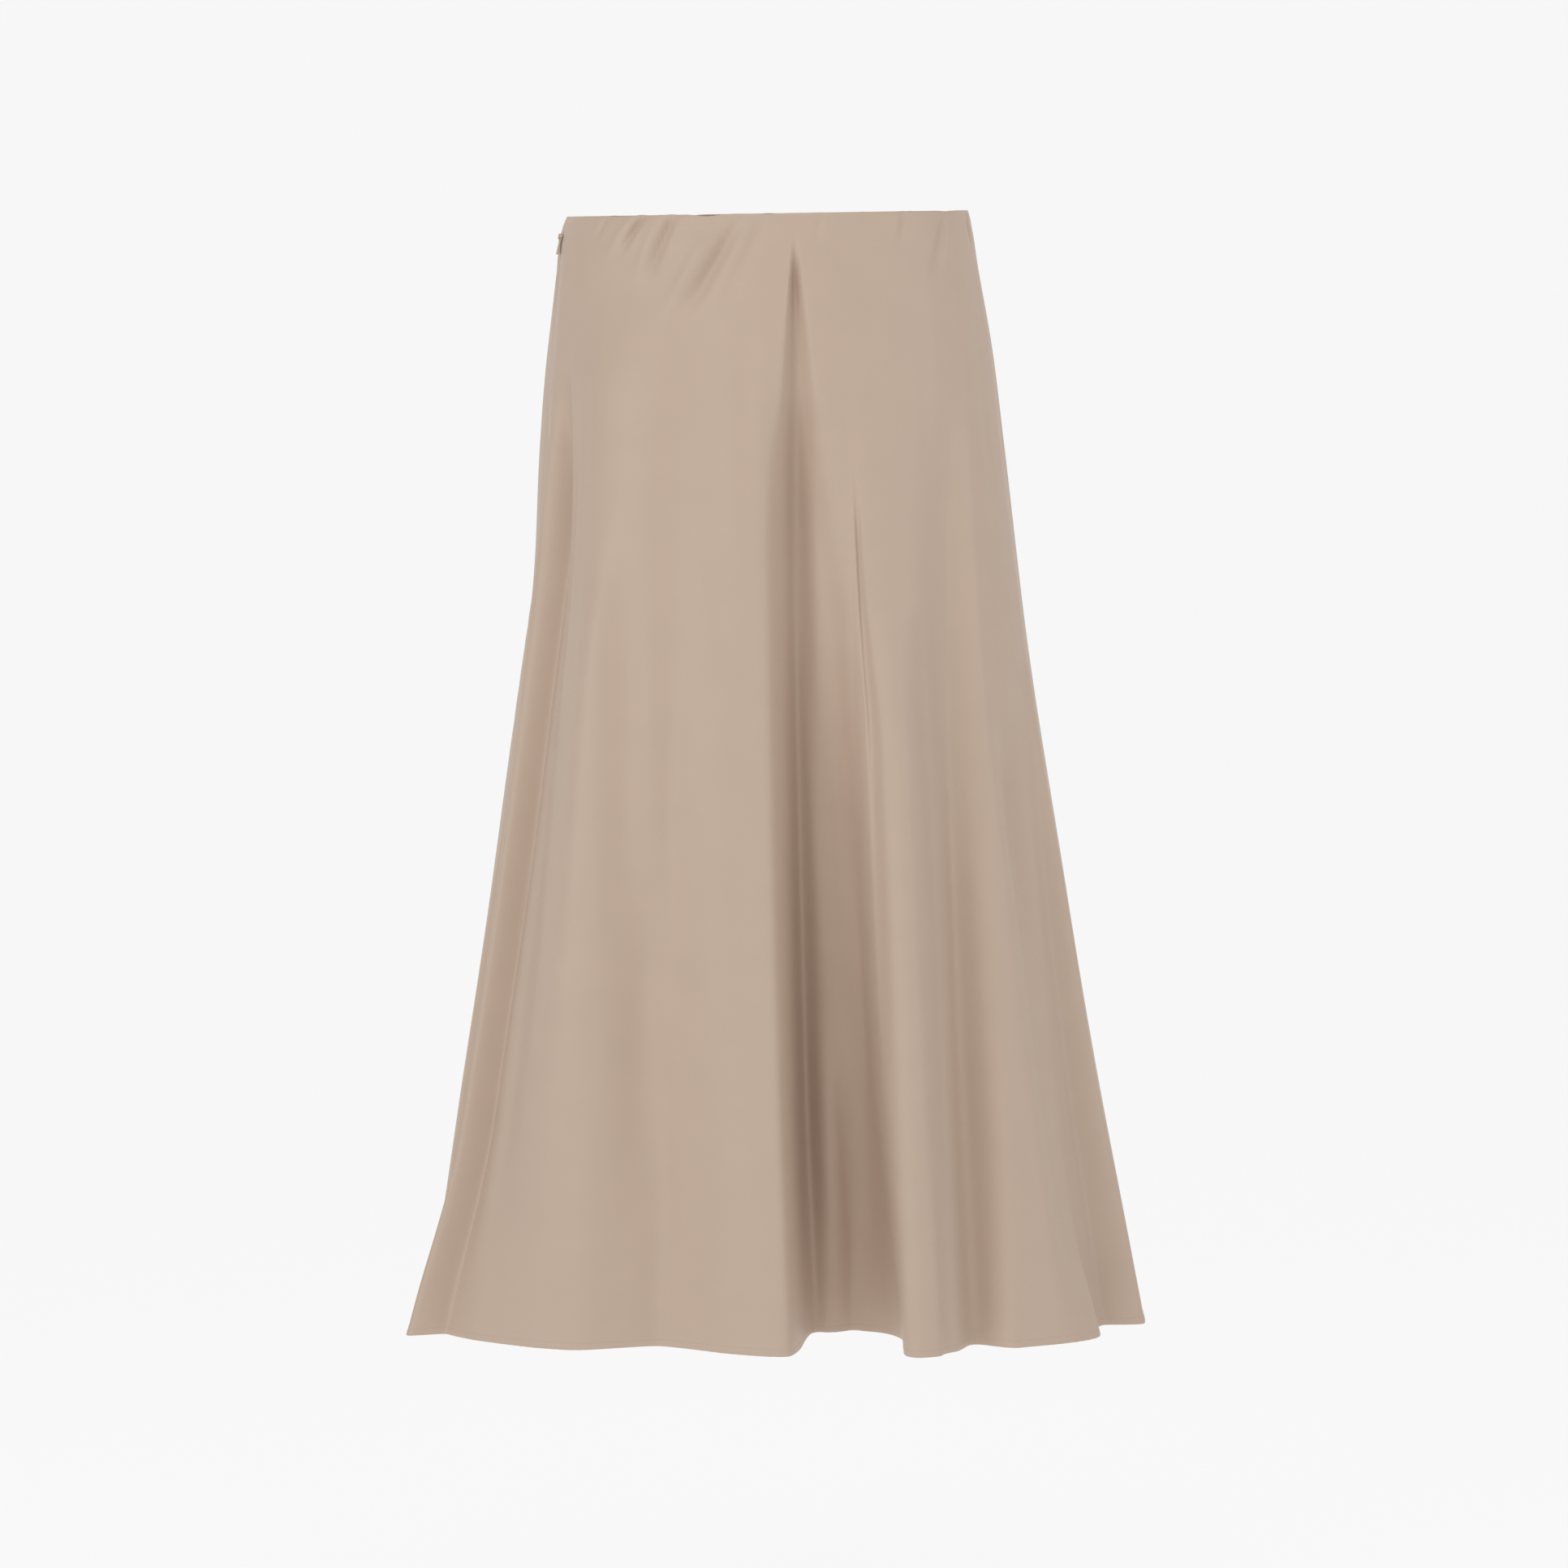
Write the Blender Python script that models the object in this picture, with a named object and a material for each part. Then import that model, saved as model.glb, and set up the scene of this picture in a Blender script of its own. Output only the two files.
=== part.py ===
"""A-line midi skirt in satin, worn shape with nobody in it, with a concealed side zip.

Metres, +Z up, front facing -Y. The origin is the centre of the waist ring. A bearing is an
angle round the skirt in degrees: 0 at the front centre, growing towards +X, 180 at the back.
A drop is a distance below the waist.
"""

from collections import namedtuple

import bmesh
import bpy
import numpy as np
from mathutils import Matrix, Vector

# The skirt and its cloth.
LENGTH = 0.780
WALL = 0.0012
SEAM_GAP = 0.0003

# The waist sits a little higher on the +X side, which levels out further down.
WAIST_TILT = 0.0156
TILT_FADE = 0.250

# How finely the panels are divided.
ROWS = 25
ROW_CROWDING = 1.25
FRONT_COLUMNS = 58
BACK_COLUMNS = 46
HEM_SAMPLES = 4000
NORMAL_STEP = 1e-4
NORMAL_TURN = 0.06

# The plain form under the folds: half widths to each side, reach to front and back, and how
# far back the widest place is.
Section = namedtuple("Section", "drop left right front back middle")
SECTIONS = (
    Section(0.000, 0.1400, 0.1410, 0.090, 0.095, 0.000),
    Section(0.010, 0.1440, 0.1435, 0.092, 0.098, 0.000),
    Section(0.040, 0.1478, 0.1485, 0.097, 0.105, -0.001),
    Section(0.090, 0.1520, 0.1575, 0.104, 0.116, -0.003),
    Section(0.160, 0.1548, 0.1663, 0.113, 0.130, -0.007),
    Section(0.226, 0.1605, 0.1741, 0.121, 0.139, -0.011),
    Section(0.328, 0.1743, 0.1874, 0.132, 0.150, -0.018),
    Section(0.466, 0.1934, 0.2100, 0.145, 0.163, -0.027),
    Section(0.603, 0.2143, 0.2331, 0.157, 0.175, -0.035),
    Section(0.706, 0.2296, 0.2530, 0.166, 0.184, -0.041),
    Section(LENGTH, 0.2422, 0.2673, 0.173, 0.191, -0.045),
)

# Folds run down from their start to the hem and deepen on the way, after a soft onset. Each
# lies between two edges, whose bearings change evenly from waist to hem. The cloth turns in
# over the first share of the width and out over the last. A lap leans a side over the fold.
# A negative depth is a flute that stands out.
ONSET = 0.040
Fold = namedtuple(
    "Fold",
    "name start left_waist left_hem right_waist right_hem depth growth "
    "turn_in turn_out_top turn_out_hem left_lap right_lap",
)
FOLDS = (
    Fold("left_flute", 0.300, -87, -80, -69, -66, -0.0125, 0.7, 0.50, 0.50, 0.50, 0.000, 0.000),
    Fold("left_front", 0.218, -51, -38, -22, 2, 0.035, 1.35, 0.48, 0.66, 0.59, 0.000, 0.000),
    Fold("main", 0.110, -1, 1.5, 29.5, 26, 0.091, 0.83, 0.34, 0.80, 0.38, 0.007, 0.0125),
    Fold("main_flute", 0.250, 23.5, 15, 41.5, 29, -0.028, 0.6, 0.50, 0.50, 0.50, 0.000, 0.000),
    Fold("right_front", 0.182, 37, 27, 58, 41, 0.0245, 0.6, 0.62, 0.30, 0.48, 0.000, 0.000),
    Fold("right_side", 0.485, 59, 58, 86, 88.5, 0.028, 1.05, 0.30, 0.60, 0.42, 0.003, 0.000),
    Fold("back_right", 0.180, 100, 98, 138, 134, 0.040, 1.0, 0.50, 0.50, 0.50, 0.000, 0.000),
    Fold("back_inner", 0.060, 142, 140, 168, 168, 0.075, 1.0, 0.50, 0.50, 0.50, 0.006, 0.006),
    Fold("back_middle", 0.300, 174, 174, 200, 204, 0.030, 1.0, 0.50, 0.50, 0.50, 0.000, 0.000),
    Fold("back_outer", 0.090, 206, 208, 232, 236, 0.065, 1.0, 0.50, 0.50, 0.50, 0.005, 0.005),
    Fold("back_left", 0.330, 238, 240, 262, 264, 0.022, 1.0, 0.50, 0.50, 0.50, 0.000, 0.000),
)

# Soft places of their own, between two drops, whose middle and width change evenly on the
# way. Each is at full height between its rise and its fall, which are shares of its run. A
# negative height is a hollow.
Swell = namedtuple(
    "Swell",
    "name top bottom rise fall bearing_top bearing_bottom width_top width_bottom height",
)
SWELLS = (
    Swell("behind_zip", 0.020, 0.300, 0.50, 0.50, -106, -106, 46, 46, 0.010),
    Swell("left_hollow", 0.070, 0.800, 0.23, 0.22, -64, -64, 28, 28, -0.022),
    Swell("left_crest", 0.045, 0.800, 0.15, 0.55, -48, -49, 28, 28, 0.018),
    Swell("front_hollow", 0.190, 0.750, 0.30, 0.43, -37, -22, 16, 16, -0.006),
    Swell("main_crease", 0.0165, 0.800, 0.12, 0.30, 7.5, 4.5, 6, 16, -0.010),
    Swell("main_floor", 0.350, 0.780, 0.11, 0.30, 16, 14.5, 13, 13, 0.003),
)

# Lines down the cloth that its threads and the panels' columns follow, with their bearings.
Grain = namedtuple("Grain", "name waist hem")
GRAIN = (
    Grain("left_seam", -80, -104),
    Grain("left_side", -65, -66),
    Grain("left_front", -36, -20),
    Grain("main_left", 0, 1.5),
    Grain("main_right", 28, 26),
    Grain("right_front", 48, 36),
    Grain("right_side", 71, 70),
    Grain("right_seam", 92, 96),
    Grain("back_right", 119, 116),
    Grain("back_inner", 155, 154),
    Grain("back_middle", 187, 189),
    Grain("back_outer", 219, 222),
    Grain("left_seam_again", 280, 256),
)

# The concealed zip. Its tape lies inside the seam, and the slider stands in a slot there.
TAPE_TOP = 0.004
TAPE_BOTTOM = 0.175
TAPE_HALF_WIDTH = 0.012
TAPE_THICK = 0.0008
TAPE_SLOT_BOTTOM = 0.0185
TAPE_SLOT_HALF = 0.0011
SLIDER_DROP = 0.0145
SLOT_WIDTH = 0.0016
SLOT_HEIGHT = 0.0060
SLOT_DEPTH = 0.0080
CLEARANCE = 0.0003

# The slider: a plate inside the skirt and an arch outside, joined by two legs.
PLATE_WIDTH = 0.0062
PLATE_HEIGHT = 0.0095
PLATE_THICK = 0.0016
PLATE_CLEAR = 0.0007
PLATE_ROUND = 0.0005
ARCH_WIDTH = 0.0010
ARCH_THICK = 0.0009
LEG_HEIGHT = 0.0010
LEG_SPAN = 0.0020

# The pull tab: a flat plate with a window near its top, hinged on the bar above the window.
HINGE_OUT = 0.00095
PULL_WIDTH = 0.0040
PULL_LENGTH = 0.0130
PULL_THICK = 0.0008
PULL_BAR = 0.0004
WINDOW_WIDTH = 0.0017
WINDOW_LENGTH = 0.0026
PULL_ROUND = 0.0009
ARCH_CLEAR = 0.00090

Finish = namedtuple("Finish", "colour roughness metallic")
SATIN = Finish((0.54, 0.41, 0.32, 1.0), 0.42, 0.0)
TAPE_CLOTH = Finish((0.46, 0.35, 0.27, 1.0), 0.80, 0.0)
ENAMEL = Finish((0.50, 0.38, 0.29, 1.0), 0.35, 0.2)


def clear_scene():
    for obj in list(bpy.data.objects):
        bpy.data.objects.remove(obj, do_unlink=True)


def material(name, finish):
    made = bpy.data.materials.new(name)
    made.use_nodes = True
    shader = made.node_tree.nodes["Principled BSDF"]
    shader.inputs["Base Color"].default_value = finish.colour
    shader.inputs["Roughness"].default_value = finish.roughness
    shader.inputs["Metallic"].default_value = finish.metallic
    return made


def ease(share):
    """0 to 1 with a level start and end."""
    share = np.clip(share, 0.0, 1.0)
    return share * share * (3.0 - 2.0 * share)


def column_of(name, drop):
    """A column of SECTIONS at these drops, on a smooth curve through its rows."""
    at = np.array([row.drop for row in SECTIONS])
    value = np.array([getattr(row, name) for row in SECTIONS])
    step = np.diff(at)
    rise = np.diff(value) / step
    slope = np.empty_like(value)
    slope[0] = rise[0]
    slope[-1] = rise[-1]
    slope[1:-1] = (rise[:-1] * step[1:] + rise[1:] * step[:-1]) / (step[1:] + step[:-1])
    low = np.clip(np.searchsorted(at, drop) - 1, 0, len(step) - 1)
    share = (drop - at[low]) / step[low]
    start_weight = 2 * share**3 - 3 * share**2 + 1
    end_weight = 3 * share**2 - 2 * share**3
    start_slope = (share**3 - 2 * share**2 + share) * step[low]
    end_slope = (share**3 - share**2) * step[low]
    return (
        start_weight * value[low]
        + end_weight * value[low + 1]
        + start_slope * slope[low]
        + end_slope * slope[low + 1]
    )


def plain_ring(bearing, drop):
    """The plain form's points, and its outward direction in plan."""
    angle = np.radians(bearing)
    middle = column_of("middle", drop)
    wide = np.where(np.sin(angle) > 0, column_of("right", drop), column_of("left", drop))
    reach = np.where(
        np.cos(angle) > 0,
        column_of("front", drop) + middle,
        column_of("back", drop) - middle,
    )
    x = wide * np.sin(angle)
    y = middle - reach * np.cos(angle)
    out_x = reach * np.sin(angle)
    out_y = -wide * np.cos(angle)
    size = np.hypot(out_x, out_y)
    return x, y, out_x / size, out_y / size


def turned(bearing, centre):
    """The bearing counted from the centre, from -180 to 180."""
    return (bearing - centre + 180.0) % 360.0 - 180.0


def fold_at(fold, bearing, drop):
    """How far a fold moves the cloth inward, and sideways towards growing bearings."""
    down = drop / LENGTH
    grown = np.clip((drop - fold.start) / (LENGTH - fold.start), 0.0, 1.0)
    left = fold.left_waist + (fold.left_hem - fold.left_waist) * down
    right = fold.right_waist + (fold.right_hem - fold.right_waist) * down
    across = turned(bearing, (left + right) / 2) / (right - left) + 0.5
    turn_out = fold.turn_out_top + (fold.turn_out_hem - fold.turn_out_top) * grown
    going_in = np.clip(across / fold.turn_in, 0.0, 1.0)
    going_out = np.clip((1.0 - across) / turn_out, 0.0, 1.0)
    deep = fold.depth * grown**fold.growth * ease((drop - fold.start) / ONSET)
    inward = deep * ease(going_in) * ease(going_out)
    left_lean = fold.left_lap * np.sin(2 * np.pi * going_in)
    right_lean = fold.right_lap * np.sin(2 * np.pi * going_out)
    return inward, grown * (left_lean - right_lean)


def swell_at(swell, bearing, drop):
    """How far a swell moves the cloth outward."""
    down = np.clip((drop - swell.top) / (swell.bottom - swell.top), 0.0, 1.0)
    along = ease(down / swell.rise) * ease((1.0 - down) / swell.fall)
    middle = swell.bearing_top + (swell.bearing_bottom - swell.bearing_top) * down
    width = swell.width_top + (swell.width_bottom - swell.width_top) * down
    aside = np.clip(np.abs(turned(bearing, middle)) / (width / 2), 0.0, 1.0)
    return swell.height * along * np.cos(np.pi * aside / 2) ** 2


def cloth_point(bearing, drop):
    """Points of the skirt's outer face, as an array whose last axis is x, y, z."""
    x, y, out_x, out_y = plain_ring(bearing, drop)
    inward = np.zeros_like(x)
    aside = np.zeros_like(x)
    for fold in FOLDS:
        fold_in, fold_aside = fold_at(fold, bearing, drop)
        inward = inward + fold_in
        aside = aside + fold_aside
    for swell in SWELLS:
        inward = inward - swell_at(swell, bearing, drop)
    x = x - inward * out_x - aside * out_y
    y = y - inward * out_y + aside * out_x
    z = WAIST_TILT * x * (1.0 - ease(drop / TILT_FADE)) - drop
    return np.stack([x, y, z], axis=-1)


def cloth_out(bearing, drop):
    """The outward direction of the outer face at these places."""
    along = cloth_point(bearing + NORMAL_TURN, drop) - cloth_point(bearing - NORMAL_TURN, drop)
    below = np.minimum(drop + NORMAL_STEP, LENGTH)
    above = np.maximum(drop - NORMAL_STEP, 0.0)
    down = cloth_point(bearing, below) - cloth_point(bearing, above)
    out = np.cross(down, along)
    return out / np.linalg.norm(out, axis=-1, keepdims=True)


def bearing_at(hem_bearing, drop):
    """Where the cloth that ends at a hem bearing lies at this drop."""
    waist = np.interp(hem_bearing, [line.hem for line in GRAIN], [line.waist for line in GRAIN])
    return waist + (hem_bearing - waist) * drop / LENGTH


def even_columns(first, last, count):
    """Hem bearings that are evenly spaced along the cloth of the hem."""
    bearing = np.linspace(first, last, HEM_SAMPLES)
    point = cloth_point(bearing, np.full(HEM_SAMPLES, LENGTH))
    run = np.linalg.norm(np.diff(point, axis=0), axis=1)
    length = np.concatenate([[0.0], np.cumsum(run)])
    return np.interp(np.linspace(0.0, length[-1], count), length, bearing)


def wall_mesh(name, outer, inner, kept=None):
    """A closed wall between two grids of points, through the cells of the grid that are kept."""
    rows, columns = outer.shape[:2]
    kept = np.ones((rows - 1, columns - 1), bool) if kept is None else kept
    wall = bmesh.new()
    face_points = []
    for grid in (outer, inner):
        face_points.append({})
        for row, column in np.argwhere(kept):
            for place_in in cell_corners(row, column):
                if place_in not in face_points[-1]:
                    face_points[-1][place_in] = wall.verts.new(grid[place_in])
    out, back = face_points
    sides = set()
    for row, column in np.argwhere(kept):
        a, b, c, d = cell_corners(row, column)
        for three in ((a, b, c), (a, c, d)):
            wall.faces.new([out[corner] for corner in three])
            wall.faces.new([back[corner] for corner in reversed(three)])
        sides.update(((a, b), (b, c), (c, d), (d, a)))
    for start, end in sorted(sides):
        if (end, start) not in sides:
            wall.faces.new((out[end], out[start], back[start]))
            wall.faces.new((out[end], back[start], back[end]))
    mesh = bpy.data.meshes.new(name)
    wall.to_mesh(mesh)
    wall.free()
    return mesh


def cell_corners(row, column):
    """The four places round a cell of a grid, anticlockwise from outside."""
    row = int(row)
    column = int(column)
    return (row, column), (row + 1, column), (row + 1, column + 1), (row, column + 1)


def place(name, mesh, surface):
    mesh.materials.append(surface)
    obj = bpy.data.objects.new(name, mesh)
    bpy.context.scene.collection.objects.link(obj)
    return obj


def cut_with(obj, cutter):
    cut = obj.modifiers.new("cut", "BOOLEAN")
    cut.operation = "DIFFERENCE"
    cut.solver = "EXACT"
    cut.object = cutter


def panel_rows():
    """The drops of the panels' rows, closer together near the waist, with the zip's own."""
    even = LENGTH * np.linspace(0.0, 1.0, ROWS) ** ROW_CROWDING
    return np.sort(np.concatenate([even, [TAPE_TOP, TAPE_SLOT_BOTTOM, TAPE_BOTTOM]]))


def panel_grid(first, last, columns):
    """Outer points and outward directions of a panel, in rows from the waist to the hem."""
    drop = panel_rows()
    hem_bearing = even_columns(first, last, columns)
    bearing = bearing_at(hem_bearing[None, :], drop[:, None])
    where = np.broadcast_to(drop[:, None], bearing.shape)
    return cloth_point(bearing, where), cloth_out(bearing, where)


def panel(name, outer, out, surface):
    """One panel of the skirt, drawn back a little from the seam at each side."""
    outer = outer.copy()
    for edge, next_in in ((0, 1), (-1, -2)):
        into = outer[:, next_in] - outer[:, edge]
        into -= out[:, edge] * np.sum(into * out[:, edge], axis=1, keepdims=True)
        into /= np.linalg.norm(into, axis=1, keepdims=True)
        outer[:, edge] += into * SEAM_GAP / 2
    obj = place(name, wall_mesh(name, outer, outer - out * WALL), surface)
    obj.data.shade_smooth()
    return obj


def seam_frame(drop):
    """A frame on the left seam: X outward, Y to the front along the waist, Z up the cloth."""
    bearing = bearing_at(GRAIN[0].hem, drop)
    point = Vector(cloth_point(bearing, drop))
    out = Vector(cloth_out(bearing, drop))
    front = Vector((-out.y, out.x, 0.0)).normalized()
    up = out.cross(front)
    return Matrix.Translation(point) @ Matrix((out, front, up)).transposed().to_4x4()


def block(name, low, high, surface=None):
    """A block between two corners, in its own frame."""
    shape = bmesh.new()
    bmesh.ops.create_cube(shape, size=1.0)
    low = Vector(low)
    high = Vector(high)
    size = Matrix.Diagonal((*(high - low), 1.0))
    bmesh.ops.transform(shape, matrix=Matrix.Translation((low + high) / 2) @ size, verts=shape.verts)
    mesh = bpy.data.meshes.new(name)
    shape.to_mesh(mesh)
    shape.free()
    obj = bpy.data.objects.new(name, mesh)
    bpy.context.scene.collection.objects.link(obj)
    if surface:
        mesh.materials.append(surface)
    return obj


def helper(obj):
    """An object that only cuts or joins, left out of the render."""
    obj.hide_render = True
    obj.display_type = "WIRE"
    return obj


def round_off(obj, width, segments=2):
    bevel = obj.modifiers.new("round", "BEVEL")
    bevel.width = width
    bevel.segments = segments
    bevel.limit_method = "ANGLE"


def join(obj, other):
    union = obj.modifiers.new("join", "BOOLEAN")
    union.operation = "UNION"
    union.solver = "EXACT"
    union.object = other


def beside_seam(outer, out, far):
    """Points and directions of a panel that lie this far from its first column, row by row."""
    run = np.linalg.norm(np.diff(outer, axis=1), axis=2)
    away = np.concatenate([np.zeros((len(run), 1)), np.cumsum(run, axis=1)], axis=1)
    both = np.concatenate([outer, out], axis=2)
    found = np.empty((len(run), len(far), 6))
    for row in range(len(run)):
        for axis in range(6):
            found[row, :, axis] = np.interp(far, away[row], both[row, :, axis])
    return found[..., :3], found[..., 3:]


def zip_tape(front, back, surface):
    """The tape behind the seam, split at the top where the slider's neck stands."""
    far = (TAPE_SLOT_HALF, TAPE_HALF_WIDTH / 2, TAPE_HALF_WIDTH)
    front_side = beside_seam(*front, far)
    back_side = beside_seam(*(grid[:, ::-1] for grid in back), far)
    point, out = (np.concatenate([b[:, ::-1], f], axis=1) for b, f in zip(back_side, front_side))
    drop = panel_rows()
    in_zip = (drop >= TAPE_TOP) & (drop <= TAPE_BOTTOM)
    outer = (point - out * (WALL + CLEARANCE))[in_zip]
    inner = outer - out[in_zip] * TAPE_THICK
    kept = np.ones((len(outer) - 1, len(far) * 2 - 1), bool)
    kept[drop[in_zip][1:] <= TAPE_SLOT_BOTTOM, len(far) - 1] = False
    return place("zip_tape", wall_mesh("zip_tape", outer, inner, kept), surface)


def slot_cutter(frame):
    """The short gap in the seam that the slider's legs pass through."""
    half_width = SLOT_WIDTH / 2
    half_height = SLOT_HEIGHT / 2
    low = (-SLOT_DEPTH / 2, -half_width, -half_height)
    high = (SLOT_DEPTH / 2, half_width, half_height)
    cutter = helper(block("slider_slot_cutter", low, high))
    cutter.matrix_world = frame
    return cutter


def zip_slider(frame, surface):
    """Plate, two legs and arch, closed round the pull tab's bar."""
    plate_face = -(WALL + CLEARANCE + TAPE_THICK + PLATE_CLEAR)
    arch_face = HINGE_OUT + ARCH_CLEAR
    leg_end = LEG_SPAN / 2 + LEG_HEIGHT
    half_plate = PLATE_WIDTH / 2
    half_arch = ARCH_WIDTH / 2
    plate = block(
        "zip_slider",
        (plate_face - PLATE_THICK, -half_plate, -PLATE_HEIGHT / 2),
        (plate_face, half_plate, PLATE_HEIGHT / 2),
        surface,
    )
    round_off(plate, PLATE_ROUND)
    loop = helper(
        block(
            "slider_loop",
            (plate_face - PLATE_THICK / 2, -half_arch, -leg_end),
            (arch_face + ARCH_THICK, half_arch, leg_end),
        )
    )
    round_off(loop, PLATE_ROUND / 2)
    hole = helper(
        block(
            "slider_loop_hole",
            (plate_face, -PLATE_WIDTH, -LEG_SPAN / 2),
            (arch_face, PLATE_WIDTH, LEG_SPAN / 2),
        )
    )
    cut_with(loop, hole)
    join(plate, loop)
    for piece in (plate, loop, hole):
        piece.matrix_world = frame
    return plate


def zip_pull(frame, surface):
    """The pull tab, hanging on the cloth from its bar, with its origin on the hinge."""
    half_width = PULL_WIDTH / 2
    half_thick = PULL_THICK / 2
    bottom = PULL_BAR - PULL_LENGTH
    tab = block(
        "zip_pull",
        (-half_thick, -half_width, bottom),
        (half_thick, half_width, PULL_BAR),
        surface,
    )
    window = helper(
        block(
            "pull_window",
            (-PULL_THICK, -WINDOW_WIDTH / 2, -PULL_BAR - WINDOW_LENGTH),
            (PULL_THICK, WINDOW_WIDTH / 2, -PULL_BAR),
        )
    )
    corner = bmesh.new()
    corner.from_mesh(tab.data)
    across = [e for e in corner.edges if abs(e.verts[0].co.x - e.verts[1].co.x) > half_thick]
    bmesh.ops.bevel(
        corner,
        geom=across,
        offset=PULL_ROUND,
        segments=3,
        profile=0.5,
        affect="EDGES",
    )
    corner.to_mesh(tab.data)
    corner.free()
    cut_with(tab, window)
    hinge = frame @ Matrix.Translation((HINGE_OUT, 0.0, 0.0))
    for piece in (tab, window):
        piece.matrix_world = hinge
    return tab


def main():
    clear_scene()
    satin = material("satin", SATIN)
    tape_cloth = material("tape_cloth", TAPE_CLOTH)
    enamel = material("enamel", ENAMEL)
    left_seam = GRAIN[0].hem
    right_seam = next(line.hem for line in GRAIN if line.name == "right_seam")
    front_grid = panel_grid(left_seam, right_seam, FRONT_COLUMNS)
    back_grid = panel_grid(right_seam, left_seam + 360, BACK_COLUMNS)
    front = panel("front_panel", *front_grid, satin)
    back = panel("back_panel", *back_grid, satin)
    frame = seam_frame(SLIDER_DROP)
    cutter = slot_cutter(frame)
    cut_with(front, cutter)
    cut_with(back, cutter)
    zip_tape(front_grid, back_grid, tape_cloth)
    zip_slider(frame, enamel)
    zip_pull(frame, enamel)


main()
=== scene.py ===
"""The looks of a satin a-line midi skirt with a concealed side zip, worn shape, nobody in it.

Metres, +Z up, front facing -Y. The origin is the centre of the waist ring. A bearing is an
angle round the skirt in degrees: 0 at the front centre, growing towards +X, 180 at the back.
A drop is a distance below the waist.
"""

import math
from collections import namedtuple

import bpy
import numpy as np
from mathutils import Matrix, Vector


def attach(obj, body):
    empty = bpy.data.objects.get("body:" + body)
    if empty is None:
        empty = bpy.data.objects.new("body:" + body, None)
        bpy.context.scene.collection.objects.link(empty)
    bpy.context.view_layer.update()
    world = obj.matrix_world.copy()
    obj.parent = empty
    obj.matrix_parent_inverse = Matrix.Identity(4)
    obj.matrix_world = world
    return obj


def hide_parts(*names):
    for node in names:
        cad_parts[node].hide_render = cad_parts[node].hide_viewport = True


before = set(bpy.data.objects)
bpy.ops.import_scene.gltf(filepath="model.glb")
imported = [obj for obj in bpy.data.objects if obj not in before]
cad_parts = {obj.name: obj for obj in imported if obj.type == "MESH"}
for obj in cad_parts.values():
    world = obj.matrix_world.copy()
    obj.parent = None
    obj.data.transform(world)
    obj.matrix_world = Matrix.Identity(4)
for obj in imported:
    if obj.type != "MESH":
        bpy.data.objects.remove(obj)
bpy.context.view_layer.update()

# ---------------------------------------------------------------------------------------
# The skirt's form: level sections, the folds and soft swells that the cloth falls in, and
# the grain lines that it follows from waist to hem.

LENGTH = 0.780
WAIST_TILT = 0.0156
TILT_FADE = 0.250

Section = namedtuple("Section", "drop left right front back middle")
SECTIONS = (
    Section(0.000, 0.1400, 0.1410, 0.090, 0.095, 0.000),
    Section(0.010, 0.1440, 0.1435, 0.092, 0.098, 0.000),
    Section(0.040, 0.1478, 0.1485, 0.097, 0.105, -0.001),
    Section(0.090, 0.1520, 0.1575, 0.104, 0.116, -0.003),
    Section(0.160, 0.1548, 0.1663, 0.113, 0.130, -0.007),
    Section(0.226, 0.1605, 0.1741, 0.121, 0.139, -0.011),
    Section(0.328, 0.1743, 0.1874, 0.132, 0.150, -0.018),
    Section(0.466, 0.1934, 0.2100, 0.145, 0.163, -0.027),
    Section(0.603, 0.2143, 0.2331, 0.157, 0.175, -0.035),
    Section(0.706, 0.2296, 0.2530, 0.166, 0.184, -0.041),
    Section(LENGTH, 0.2422, 0.2673, 0.173, 0.191, -0.045),
)

Fold = namedtuple(
    "Fold",
    "name start left_waist left_hem right_waist right_hem depth growth "
    "turn_in turn_out_top turn_out_hem left_lap right_lap",
)
ONSET = 0.040
FOLDS = (
    Fold("left_flute", 0.120, -82, -78.5, -71.5, -67.5, -0.026, 0.8, 0.62, 0.38, 0.38, 0, 0),
    Fold("left_front", 0.218, -24, -36.2, -22, 2, 0.0305, 1.35, 0.48, 0.66, 0.59, 0.000, 0.000),
    Fold("main", 0.110, -3.0, 2.8, 29.5, 26, 0.091, 0.83, 0.28, 0.80, 0.38, 0.001, 0.0125),
    Fold("main_flute", 0.250, 23.5, 15, 41.5, 29, -0.028, 0.6, 0.50, 0.50, 0.50, 0.000, 0.000),
    Fold("right_front", 0.123, 33, 28.3, 63.1, 40.9, 0.0304, 0.8, 0.62, 0.30, 0.74, 0.000, 0.000),
    Fold("right_side", 0.292, 67.1, 57.3, 79.1, 85.4, 0.0269, 0.8, 0.50, 0.30, 0.30, 0.003, 0.000),
    Fold("back_right", 0.180, 100, 98, 138, 134, 0.040, 1.0, 0.50, 0.50, 0.50, 0.000, 0.000),
    Fold("back_inner", 0.060, 142, 140, 168, 168, 0.075, 1.0, 0.50, 0.50, 0.50, 0.006, 0.006),
    Fold("back_middle", 0.300, 174, 174, 200, 204, 0.030, 1.0, 0.50, 0.50, 0.50, 0.000, 0.000),
    Fold("back_outer", 0.090, 206, 208, 232, 236, 0.065, 1.0, 0.50, 0.50, 0.50, 0.005, 0.005),
    Fold("back_left", 0.330, 238, 240, 262, 264, 0.022, 1.0, 0.50, 0.50, 0.50, 0.000, 0.000),
)

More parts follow.
